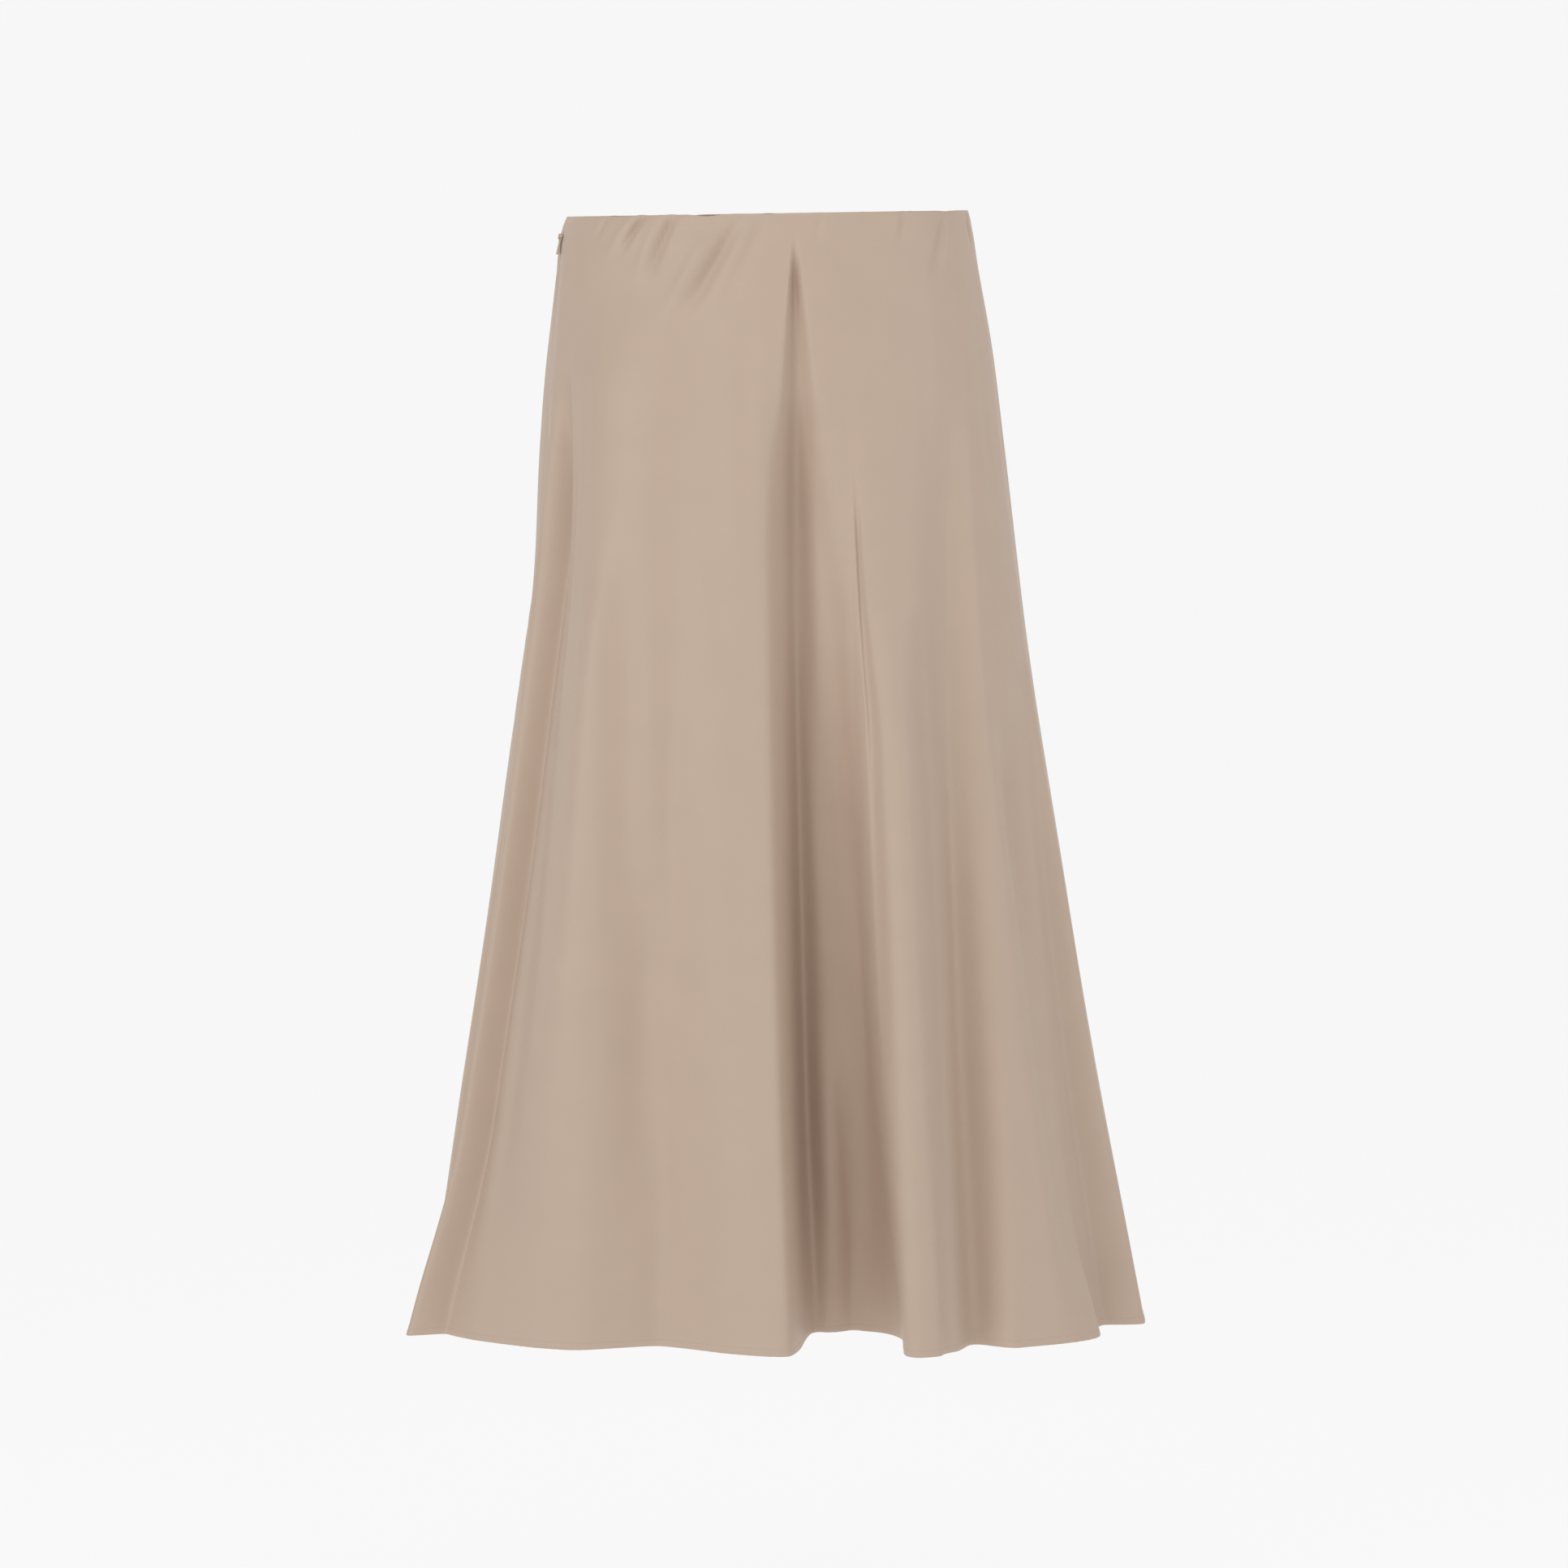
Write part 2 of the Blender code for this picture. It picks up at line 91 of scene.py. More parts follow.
Swell = namedtuple(
    "Swell",
    "name top bottom rise fall bearing_top bearing_bottom width_top width_bottom height",
)
SWELLS = (
    Swell("behind_zip", 0.020, 0.300, 0.50, 0.50, -106, -106, 46, 46, 0.010),
    Swell("left_hollow", 0.070, 0.800, 0.19, 0.24, -69.3, -71.5, 16.5, 27.6, -0.0177),
    Swell("left_crest", 0.045, 0.800, 0.10, 0.40, -39.3, -39.7, 50.8, 22.3, 0.0123),
    Swell("front_hollow", 0.190, 0.750, 0.27, 0.42, -37.2, -20.3, 14, 14, -0.0053),
    Swell("main_crease", 0.050, 0.800, 0.25, 0.30, 7.5, 8.1, 9, 7, -0.0088),
    Swell("main_floor", 0.400, 0.790, 0.30, 0.32, 15.4, 14.4, 11, 12, 0.0055),
    Swell("floor_ridge", 0.540, 0.840, 0.40, 0.15, 11.8, 11.2, 10, 13, 0.0085),
    Swell("left_valley", 0.100, 0.760, 0.30, 0.24, -61.9, -57.8, 16.5, 21, -0.0088),
    Swell("left_band", 0.200, 0.780, 0.21, 0.27, -43.3, -39.3, 16.5, 34.7, 0.0066),
    Swell("side_band", 0.300, 0.790, 0.25, 0.18, 63.1, 59.3, 19.9, 19.3, -0.0133),
    Swell("right_valley", 0.360, 0.800, 0.30, 0.20, 44, 34.5, 9, 8, -0.0028),
)

Grain = namedtuple("Grain", "name waist hem")
GRAIN = (
    Grain("left_seam", -80, -104),
    Grain("left_side", -65, -66),
    Grain("left_front", -36, -20),
    Grain("main_left", 0, 1.5),
    Grain("main_right", 28, 26),
    Grain("right_front", 48, 36),
    Grain("right_side", 71, 70),
    Grain("right_seam", 92, 96),
    Grain("back_right", 119, 116),
    Grain("back_inner", 155, 154),
    Grain("back_middle", 187, 189),
    Grain("back_outer", 219, 222),
    Grain("left_seam_again", 280, 256),
)
LEFT_SEAM = GRAIN[0].hem
RIGHT_SEAM = next(line.hem for line in GRAIN if line.name == "right_seam")

# ---------------------------------------------------------------------------------------
# Finer form, which only the cloth has. Creases from the waist: a trough each, and for the
# stronger ones a low ridge beside it.

CREASES = (
    Swell("waist_a", -0.004, 0.020, 0.50, 0.60, -51, -55, 5.0, 4.0, -0.0016),
    Swell("waist_b", -0.004, 0.030, 0.35, 0.60, -36, -44.5, 5.0, 4.0, -0.0040),
    Swell("waist_b_ridge", -0.004, 0.034, 0.35, 0.60, -40.5, -50, 5.0, 6.0, 0.0012),
    Swell("waist_c", -0.006, 0.050, 0.30, 0.60, -26.2, -34.5, 5.0, 5.0, -0.0050),
    Swell("waist_c_ridge", -0.004, 0.050, 0.30, 0.60, -31, -38.5, 6.0, 6.0, 0.0012),
    Swell("waist_d", -0.004, 0.082, 0.38, 0.55, -6, -25, 6.5, 8.5, -0.0058),
    Swell("waist_d_ridge", 0.000, 0.085, 0.35, 0.55, -13.5, -31, 7.0, 8.0, 0.0022),
    Swell("waist_e", -0.004, 0.075, 0.30, 0.60, 0.5, -13.5, 5.0, 7.0, -0.0022),
    Swell("main_dart", 0.0130, 0.300, 0.15, 0.45, 7.7, 7.4, 1.5, 25, -0.0085),
    Swell("edge_line", 0.165, 0.400, 0.30, 0.35, 21.7, 24.6, 2.0, 2.6, -0.0028),
    Swell("edge_line_low", 0.300, 0.640, 0.25, 0.35, 24.0, 22.9, 2.6, 2.6, -0.0030),
    Swell("waist_f", -0.004, 0.026, 0.40, 0.60, 16, 13, 4.0, 4.0, -0.0012),
    Swell("waist_g", -0.004, 0.030, 0.40, 0.60, 43, 38, 4.5, 4.0, -0.0016),
    Swell("waist_h", -0.004, 0.055, 0.35, 0.60, 61.5, 49, 7.0, 8.5, -0.0024),
    Swell("waist_i", -0.004, 0.030, 0.40, 0.60, 80, 76, 5.0, 5.0, -0.0018),
    Swell("waist_j", -0.004, 0.050, 0.35, 0.60, 112, 121, 5.5, 6.5, -0.0034),
    Swell("waist_k", -0.004, 0.030, 0.35, 0.60, 132, 138, 5.0, 4.5, -0.0026),
    Swell("waist_l", -0.004, 0.070, 0.30, 0.55, 150, 163, 5.5, 7.0, -0.0055),
    Swell("waist_l_ridge", 0.000, 0.076, 0.35, 0.55, 156, 169, 6.5, 7.5, 0.0018),
    Swell("waist_m", -0.004, 0.038, 0.35, 0.60, 178, 186, 5.0, 5.0, -0.0030),
    Swell("waist_n", -0.004, 0.062, 0.30, 0.60, 214, 201, 5.5, 6.5, -0.0046),
    Swell("waist_o", -0.004, 0.028, 0.40, 0.60, 233, 227, 5.0, 4.5, -0.0020),
    Swell("waist_p", -0.004, 0.045, 0.35, 0.60, 254, 246, 5.0, 5.5, -0.0034),
)
# A sharp edge that the cloth turns over, along the right side of the main fold and of a
# fold at the back.
EDGES = (
    Fold("main_edge", 0.150, 12.0, 13.0, 21.8, 21.8, 0.0015, 0.7, 0.80, 0.15, 0.15, 0.0, 0.0),
    Fold("back_edge", 0.170, 143, 142, 152, 151, 0.004, 0.7, 0.15, 0.80, 0.80, 0.0, 0.0),
)
# The waist edge rises and sinks a little between the creases.
Wave = namedtuple("Wave", "bearing width height")
WAVES = (
    Wave(-49, 22, -0.0005),
    Wave(-17, 13, -0.0013),
    Wave(0, 12, -0.0006),
    Wave(63, 16, -0.0005),
    Wave(118, 20, -0.0006),
    Wave(158, 16, -0.0010),
    Wave(206, 16, -0.0008),
    Wave(250, 18, -0.0005),
)
WAVE_FADE = 0.030

# Slow unevenness of the cloth: waves of a few centimetres, long down the skirt. Their count
# round the skirt is whole at this radius, and they fade in below the waist.
RIPPLE_COUNT = 14
RIPPLE_HEIGHT = 0.00016
RIPPLE_SHORTEST = 0.022
RIPPLE_LONGEST = 0.085
RIPPLE_STRETCH = 2.6
RIPPLE_LEAN = 0.5
RIPPLE_RADIUS = 0.2
RIPPLE_ONSET = 0.05
RIPPLE_SEED = 7

# The cloth's wall, its turned waist edge and its narrow stitched hem.
CLOTH = 0.0006
EDGE_ROUND = 3
EDGE_STEP = 0.0010
WAIST_TURN = 0.009
WAIST_THICK = 0.0011
WAIST_PUFF = 0.00030
WAIST_PUFF_START = -0.001
WAIST_PUFF_RISE = 0.003
WAIST_PUFF_FADE = 0.002
HEM_TURN = 0.0075
HEM_THICK = 0.0015
HEM_PUFF = 0.00045
HEM_PUFF_FADE = 0.0012
STITCH_LINE = 0.0052
STITCH_GROOVE = 0.00035
STITCH_GROOVE_WIDTH = 0.0011
# The hem's puckers: their pitch swings a little, and their height comes and goes in patches.
PUCKER_HEIGHT = 0.00035
PUCKER_LENGTH = 0.0085
PUCKER_FADE = 0.014
PUCKER_RADIUS = 0.283
Swing = namedtuple("Swing", "turn length start")
PUCKER_SWINGS = (Swing(0.9, 0.031, 0.0), Swing(0.7, 0.0173, 1.0))
PUCKER_PATCH = Swing(0.45, 0.043, 0.6)

# The side seams: each panel's edge rolls in, in a shallow puckered valley. Close columns
# stand at these distances from the edge, in each row.
SEAM_GAP = 0.0003
SEAM_STEPS = (0.0, 0.00007, 0.00025, 0.0005, 0.0009, 0.0018, 0.0036)
SEAM_FILL = 3
SEAM_ROLL = 0.0009
SEAM_VALLEY = 0.00030
SEAM_VALLEY_WIDTH = 0.006
SEAM_PUCKER = 0.00016
SEAM_PUCKER_LENGTH = 0.013
SEAM_SWING = Swing(1.3, 0.019, 0.0)
SLIDER_DROP = 0.0145
SLIDER_GAP = 0.00065
SLIDER_GAP_REACH = 0.0070

# Half the span, in degrees and in metres, over which a direction or a scale is measured.
SCALE_SPAN = 0.25
SLOPE_SPAN = 0.1
DROP_SPAN = 0.001

# How finely the cloth is divided.
FRONT_COLUMNS = 338
BACK_COLUMNS = 290
HEM_SAMPLES = 6000
ROW_AT_CREASES = 0.0024
CREASES_END = 0.072
ROWS_BETWEEN = 84
HEM_ZONE = 0.015
ROWS_AT_HEM = 16


def ease(share):
    """0 to 1 with a level start and end."""
    share = np.clip(share, 0.0, 1.0)
    return share * share * (3.0 - 2.0 * share)


def column_of(name, drop):
    """A column of SECTIONS at these drops, on a smooth curve through its rows."""
    at = np.array([row.drop for row in SECTIONS])
    value = np.array([getattr(row, name) for row in SECTIONS])
    step = np.diff(at)
    rise = np.diff(value) / step
    slope = np.empty_like(value)
    slope[0] = rise[0]
    slope[-1] = rise[-1]
    slope[1:-1] = (rise[:-1] * step[1:] + rise[1:] * step[:-1]) / (step[1:] + step[:-1])
    low = np.clip(np.searchsorted(at, drop) - 1, 0, len(step) - 1)
    share = (drop - at[low]) / step[low]
    start_weight = 2 * share**3 - 3 * share**2 + 1
    end_weight = 3 * share**2 - 2 * share**3
    start_slope = (share**3 - 2 * share**2 + share) * step[low]
    end_slope = (share**3 - share**2) * step[low]
    return (
        start_weight * value[low]
        + end_weight * value[low + 1]
        + start_slope * slope[low]
        + end_slope * slope[low + 1]
    )


def plain_ring(bearing, drop):
    """The plain form's points, and its outward direction in plan."""
    angle = np.radians(bearing)
    middle = column_of("middle", drop)
    wide = np.where(np.sin(angle) > 0, column_of("right", drop), column_of("left", drop))
    reach = np.where(
        np.cos(angle) > 0,
        column_of("front", drop) + middle,
        column_of("back", drop) - middle,
    )
    x = wide * np.sin(angle)
    y = middle - reach * np.cos(angle)
    out_x = reach * np.sin(angle)
    out_y = -wide * np.cos(angle)
    size = np.hypot(out_x, out_y)
    return x, y, out_x / size, out_y / size


def turned(bearing, centre):
    """The bearing counted from the centre, from -180 to 180."""
    return (bearing - centre + 180.0) % 360.0 - 180.0


def fold_at(fold, bearing, drop):
    """How far a fold moves the cloth inward, and sideways towards growing bearings."""
    down = drop / LENGTH
    grown = np.clip((drop - fold.start) / (LENGTH - fold.start), 0.0, 1.0)
    left = fold.left_waist + (fold.left_hem - fold.left_waist) * down
    right = fold.right_waist + (fold.right_hem - fold.right_waist) * down
    across = turned(bearing, (left + right) / 2) / (right - left) + 0.5
    turn_out = fold.turn_out_top + (fold.turn_out_hem - fold.turn_out_top) * grown
    going_in = np.clip(across / fold.turn_in, 0.0, 1.0)
    going_out = np.clip((1.0 - across) / turn_out, 0.0, 1.0)
    deep = fold.depth * grown**fold.growth * ease((drop - fold.start) / ONSET)
    inward = deep * ease(going_in) * ease(going_out)
    left_lean = fold.left_lap * np.sin(2 * np.pi * going_in)
    right_lean = fold.right_lap * np.sin(2 * np.pi * going_out)
    return inward, grown * (left_lean - right_lean)


def swell_at(swell, bearing, drop):
    """How far a swell moves the cloth outward."""
    down = np.clip((drop - swell.top) / (swell.bottom - swell.top), 0.0, 1.0)
    along = ease(down / swell.rise) * ease((1.0 - down) / swell.fall)
    middle = swell.bearing_top + (swell.bearing_bottom - swell.bearing_top) * down
    width = swell.width_top + (swell.width_bottom - swell.width_top) * down
    aside = np.clip(np.abs(turned(bearing, middle)) / (width / 2), 0.0, 1.0)
    return swell.height * along * np.cos(np.pi * aside / 2) ** 2


def ripple(bearing, drop):
    """Slow unevenness of the cloth, the same on every run."""
    chance = np.random.default_rng(RIPPLE_SEED)
    around = np.radians(bearing) * RIPPLE_RADIUS
    girth = 2 * np.pi * RIPPLE_RADIUS
    total = np.zeros(np.broadcast(bearing, drop).shape)
    for _ in range(RIPPLE_COUNT):
        size = RIPPLE_SHORTEST * (RIPPLE_LONGEST / RIPPLE_SHORTEST) ** chance.random()
        turn = chance.uniform(-RIPPLE_LEAN, RIPPLE_LEAN)
        phase = chance.uniform(0, 2 * np.pi)
        turns = np.round(girth * np.cos(turn) / size) / girth
        down = np.sin(turn) / (size * RIPPLE_STRETCH)
        wave = np.sin(2 * np.pi * (turns * around + down * drop) + phase)
        total += wave * size / RIPPLE_LONGEST
    return total * RIPPLE_HEIGHT


def plain_point(bearing, drop):
    """Points of the outer face without its finer form: the last axis is x, y, z."""
    return surface_point(bearing, drop, FOLDS, SWELLS)


def cloth_point(bearing, drop):
    """Points of the cloth's outer face, with its creases, turned edges and puckers."""
    return surface_point(bearing, drop, FOLDS + EDGES, SWELLS + CREASES, fine=True)


def surface_point(bearing, drop, folds, swells, fine=False):
    """Points of the face that folds and swells make; fine adds ripple and turned edges."""
    x, y, out_x, out_y = plain_ring(bearing, drop)
    inward = np.zeros_like(x)
    aside = np.zeros_like(x)
    for fold in folds:
        fold_in, fold_aside = fold_at(fold, bearing, drop)
        inward = inward + fold_in
        aside = aside + fold_aside
    for swell in swells:
        inward = inward - swell_at(swell, bearing, drop)
    rise = 0.0
    if fine:
        inward = inward - ripple(bearing, drop) * ease(drop / RIPPLE_ONSET)
        inward = inward - edge_relief(bearing, drop)
        for wave in WAVES:
            near = np.clip(np.abs(turned(bearing, wave.bearing)) / (wave.width / 2), 0.0, 1.0)
            rise = rise + wave.height * np.cos(np.pi * near / 2) ** 2
        rise = rise * (1.0 - ease(drop / WAVE_FADE))
    x = x - inward * out_x - aside * out_y
    y = y - inward * out_y + aside * out_x
    z = WAIST_TILT * x * (1.0 - ease(drop / TILT_FADE)) - drop + rise
    return np.stack([x, y, z], axis=-1)


def edge_relief(bearing, drop):
    """How far the turned waist, the stitched hem and its puckers stand out."""
    puff_in = ease((drop - WAIST_PUFF_START) / WAIST_PUFF_RISE)
    waist = WAIST_PUFF * ease((WAIST_TURN - drop) / WAIST_PUFF_FADE) * puff_in
    up = LENGTH - drop
    hem = HEM_PUFF * ease((HEM_TURN - up) / HEM_PUFF_FADE)
    groove = STITCH_GROOVE * np.exp(-(((up - STITCH_LINE) / STITCH_GROOVE_WIDTH) ** 2))
    run = np.radians(bearing) * PUCKER_RADIUS
    swing = sum(row.turn * np.sin(run / row.length + row.start) for row in PUCKER_SWINGS)
    pucker = PUCKER_HEIGHT * np.sin(2 * np.pi * run / PUCKER_LENGTH + swing)
    patch = PUCKER_PATCH.turn * np.sin(run / PUCKER_PATCH.length + PUCKER_PATCH.start)
    pucker = pucker * (1.0 - PUCKER_PATCH.turn + patch) * ease(1.0 - up / PUCKER_FADE)
    return waist + hem - groove + pucker


def bearing_at(hem_bearing, drop):
    """Where the cloth that ends at a hem bearing lies at this drop."""
    waist = np.interp(hem_bearing, [line.hem for line in GRAIN], [line.waist for line in GRAIN])
    return waist + (hem_bearing - waist) * drop / LENGTH


# ---------------------------------------------------------------------------------------
# The two cloth panels.


def cloth_rows():
    """The drops of the cloth's rows: close at the waist's creases and at the stitched hem."""
    first = WAIST_THICK / 2
    last = LENGTH - HEM_THICK / 2
    waist = np.arange(first, CREASES_END, ROW_AT_CREASES)
    between = np.linspace(CREASES_END, last - HEM_ZONE, ROWS_BETWEEN)
    hem = np.linspace(last - HEM_ZONE, last, ROWS_AT_HEM)
    return np.concatenate([waist, between, hem[1:]])


def even_columns(first, last, count):
    """Hem bearings that are evenly spaced along the cloth of the hem."""
    bearing = np.linspace(first, last, HEM_SAMPLES)
    point = plain_point(bearing, np.full(HEM_SAMPLES, LENGTH))
    run = np.linalg.norm(np.diff(point, axis=0), axis=1)
    length = np.concatenate([[0.0], np.cumsum(run)])
    return np.interp(np.linspace(0.0, length[-1], count), length, bearing)


def seam_columns(seam, side, drop):
    """Bearings of the close columns on one side of a seam, and degrees per metre there."""
    here = bearing_at(np.array(float(seam)), drop)
    span = plain_point(here + SCALE_SPAN, drop) - plain_point(here - SCALE_SPAN, drop)
    degrees = 2 * SCALE_SPAN / np.linalg.norm(span, axis=-1)
    at_slider = ease(1.0 - np.abs(drop - SLIDER_DROP) / SLIDER_GAP_REACH)
    gap = SEAM_GAP / 2 + SLIDER_GAP * at_slider * (seam != RIGHT_SEAM)
    step = np.array(SEAM_STEPS)
    away = step + gap[:, None] * (1.0 - step / step[-1])
    return here[:, None] + side * away * degrees[:, None], degrees


def panel_bearings(first, last, count, drop):
    """Bearings of a panel's places, with close columns at both side seams."""
    even = bearing_at(even_columns(first, last, count)[None, :], drop[:, None])
    left, left_degrees = seam_columns(first, 1, drop)
    right, right_degrees = seam_columns(last, -1, drop)
    clear = SEAM_STEPS[-1] + SEAM_STEPS[-3]
    from_left = (even - left[:, :1]) / left_degrees[:, None]
    from_right = (right[:, :1] - even) / right_degrees[:, None]
    even = even[:, ((from_left > clear) & (from_right > clear)).all(axis=0)]
    share = np.arange(1, SEAM_FILL + 1) / (SEAM_FILL + 1)
    left_fill = left[:, -1:] + (even[:, :1] - left[:, -1:]) * share
    right_fill = even[:, -1:] + (right[:, -1:] - even[:, -1:]) * share
    return np.concatenate([left, left_fill, even, right_fill, right[:, ::-1]], axis=1)


def seam_relief(away, along):
    """How far the cloth beside a seam sinks in: a shallow puckered valley and a rolled edge."""
    roll = np.clip(SEAM_ROLL - away, 0.0, SEAM_ROLL)
    rolled = SEAM_ROLL - np.sqrt(SEAM_ROLL**2 - roll**2)
    near = np.exp(-((away / SEAM_VALLEY_WIDTH) ** 2))
    swing = SEAM_SWING.turn * np.sin(along / SEAM_SWING.length + SEAM_SWING.start)
    wave = np.sin(2 * np.pi * along / SEAM_PUCKER_LENGTH + swing)
    return rolled + near * (SEAM_VALLEY + SEAM_PUCKER * wave)


def grid_normals(point):
    """Outward unit normals of a grid whose rows go down and whose columns grow in bearing."""
    down = np.gradient(point, axis=0)
    along = np.gradient(point, axis=1)
    out = np.cross(down, along)
    return out / np.linalg.norm(out, axis=-1, keepdims=True)


def run_along(point, axis):
    """Distances travelled along one axis of a grid of points."""
    run = np.linalg.norm(np.diff(point, axis=axis), axis=-1)
    start = np.zeros_like(np.take(run, [0], axis=axis))
    return np.concatenate([start, np.cumsum(run, axis=axis)], axis=axis)


def flat_pattern(aside, down):
    """The panel laid flat, as a flared skirt is cut: rings round a centre above its waist."""
    width = aside[:, -1] - aside[:, 0]
    spread = (width[-1] - width[0]) / down[-1].mean()
    radius = width[0] / spread + down
    angle = aside / radius
    return np.stack([radius * np.sin(angle), -radius * np.cos(angle)], axis=-1)


def cloth_grid(first, last, count):
    """A panel's outer points, normals, drops and flat pattern, in rows from waist to hem."""
    rows = cloth_rows()
    bearing = panel_bearings(first, last, count, rows)
    drop = np.broadcast_to(rows[:, None], bearing.shape)
    point = cloth_point(bearing, drop)
    across = run_along(point, 1)
    along = run_along(point, 0)
    width = across[:, -1:]
    sunk = seam_relief(across, along) + seam_relief(width - across, along)
    point = point - grid_normals(point) * sunk[..., None]
    flat = flat_pattern(across - width / 2, along)
    return point, grid_normals(point), drop, flat


def round_edge(first, last, beyond):
    """Rows that round off the wall's edge from one face to the other, bulging `beyond`."""
    middle = (first + last) / 2
    half = (first - last) / 2
    beyond = beyond / np.linalg.norm(beyond, axis=-1, keepdims=True)
    reach = np.linalg.norm(half, axis=-1, keepdims=True)
    turns = np.linspace(0.0, np.pi, EDGE_ROUND + 2)[1:-1]
    return [middle + half * np.cos(turn) + beyond * reach * np.sin(turn) for turn in turns]


def side_faces(outer, hem, inner, waist):
    """Faces that close the wall's side, through the vertices of one column."""
    faces = []
    for row in range(len(outer) - 1):
        faces.append([outer[row + 1], outer[row], inner[row], inner[row + 1]])
    faces.append([inner[-1], *hem[::-1], outer[-1]])
    faces.append([outer[0], *waist[::-1], inner[0]])
    return faces


def cloth_panel(name, grid, face, back):
    """A panel as a closed wall: face outside and on the turned hem, back on the rest inside."""
    point, out, drop, flat = grid
    up = LENGTH - drop
    at_hem = ease((HEM_TURN - up) / EDGE_STEP)
    at_waist = ease((WAIST_TURN - drop) / EDGE_STEP)
    thick = CLOTH + at_hem * (HEM_THICK - CLOTH) + at_waist * (WAIST_THICK - CLOTH)
    inner = point - out * thick[..., None]
    hem = round_edge(point[-1], inner[-1], point[-1] - point[-2])
    waist = round_edge(inner[0], point[0], point[0] - point[1])
    loop = np.concatenate([point, hem, inner[::-1], waist])
    rows, columns = loop.shape[:2]
    outer_rows = len(point)
    hem_end = outer_rows + EDGE_ROUND
    inner_end = hem_end + outer_rows
    index = np.arange(rows * columns).reshape(rows, columns)
    following = np.roll(index, -1, axis=0)
    corners = (index[:, :-1], following[:, :-1], following[:, 1:], index[:, 1:])
    faces = np.stack(corners, axis=-1).reshape(-1, 4).tolist()
    row_of = np.repeat(np.arange(rows), columns - 1)
    turned_rows = int((up[:, 0] < HEM_TURN).sum())
    inside = (row_of >= hem_end + turned_rows) & (row_of < inner_end - 1)
    for column in (0, columns - 1):
        line = index[:, column].tolist()
        parts = (
            line[:outer_rows],
            line[outer_rows:hem_end],
            line[hem_end:inner_end][::-1],
            line[inner_end:],
        )
        side = side_faces(*parts)
        faces.extend(side if column == 0 else [corner[::-1] for corner in side])
    mesh = bpy.data.meshes.new(name)
    mesh.from_pydata(loop.reshape(-1, 3).tolist(), [], faces)
    mesh.shade_smooth()
    mesh.materials.append(face)
    mesh.materials.append(back)
    slots = np.zeros(len(mesh.polygons), dtype=np.int32)
    slots[: len(inside)] = inside
    mesh.polygons.foreach_set("material_index", slots)
    rings = [flat[-1:]] * EDGE_ROUND + [flat[::-1]] + [flat[:1]] * EDGE_ROUND
    layout = np.concatenate([flat, *rings]).reshape(-1, 2)
    corner_vertex = np.empty(len(mesh.loops), dtype=np.int32)
    mesh.loops.foreach_get("vertex_index", corner_vertex)
    mesh.uv_layers.new(name="pattern").uv.foreach_set("vector", layout[corner_vertex].ravel())
    mesh.update()
    return place(name, mesh)


def place(name, mesh):
    obj = bpy.data.objects.new(name, mesh)
    bpy.context.scene.collection.objects.link(obj)
    return obj


# ---------------------------------------------------------------------------------------
# Sewing and the zip's coil, as tubes along paths.

STITCH_PITCH = 0.0026
STITCH_LENGTH = 0.0020
STITCH_RADIUS = 0.00019
STITCH_RISE = 0.00016
STITCH_SINK = 0.00014
STITCH_ENDS = 0.45
STITCH_STATIONS = 5
STITCH_SIDES = 6
SEAM_MARGIN = 0.004

TAPE_BACK = 0.0023
COIL_TOP = 0.0212
COIL_BOTTOM = 0.1715
COIL_PITCH = 0.00130
COIL_WIRE = 0.00022
COIL_ACROSS = 0.00125
COIL_MIDDLE = 0.82
COIL_DEEP = 0.00060
COIL_TURN_POINTS = 12
COIL_SIDES = 6


def tubes(name, path, side, up, radius, sides, surface):
    """Tubes in one mesh: path, side and up are arrays of tubes, stations and x, y, z."""
    turn = np.linspace(0.0, 2 * np.pi, sides, endpoint=False)
    ring = side[..., None, :] * np.cos(turn)[:, None] + up[..., None, :] * np.sin(turn)[:, None]
    point = path[..., None, :] + ring * radius[..., None, None]
    count, stations = path.shape[:2]
    index = np.arange(count * stations * sides).reshape(count, stations, sides)
    following = np.roll(index, -1, axis=2)
    corners = (index[:, :-1], following[:, :-1], following[:, 1:], index[:, 1:])
    faces = np.stack(corners, axis=-1).reshape(-1, 4).tolist()
    faces.extend(index[:, 0, ::-1].tolist())
    faces.extend(index[:, -1].tolist())
    mesh = bpy.data.meshes.new(name)
    mesh.from_pydata(point.reshape(-1, 3).tolist(), [], faces)
    mesh.shade_smooth()
    mesh.materials.append(surface)
    return place(name, mesh)


def hem_stitches(name, grid, surface):
    """The row of topstitching along one panel's hem."""
    point, out, drop, _ = grid
    row = int(np.abs(LENGTH - drop[:, 0] - STITCH_LINE).argmin())
    run = run_along(point[row], 0)
    starts = np.arange(SEAM_MARGIN, run[-1] - SEAM_MARGIN, STITCH_PITCH)
    share = np.linspace(0.0, 1.0, STITCH_STATIONS)
    where = starts[:, None] + share * STITCH_LENGTH
    path = np.stack([np.interp(where, run, point[row, :, axis]) for axis in range(3)], axis=-1)
    up = np.stack([np.interp(where, run, out[row, :, axis]) for axis in range(3)], axis=-1)
    arch = np.sin(np.pi * share)
    path = path + up * (STITCH_RISE * arch - STITCH_SINK)[:, None]
    along = np.gradient(path, axis=1)
    side = np.cross(along, up)
    side = side / np.linalg.norm(side, axis=-1, keepdims=True)
    plump = STITCH_ENDS + (1.0 - STITCH_ENDS) * arch
    radius = np.broadcast_to(STITCH_RADIUS * plump, where.shape)
    return tubes(name, path, side, up, radius, STITCH_SIDES, surface)


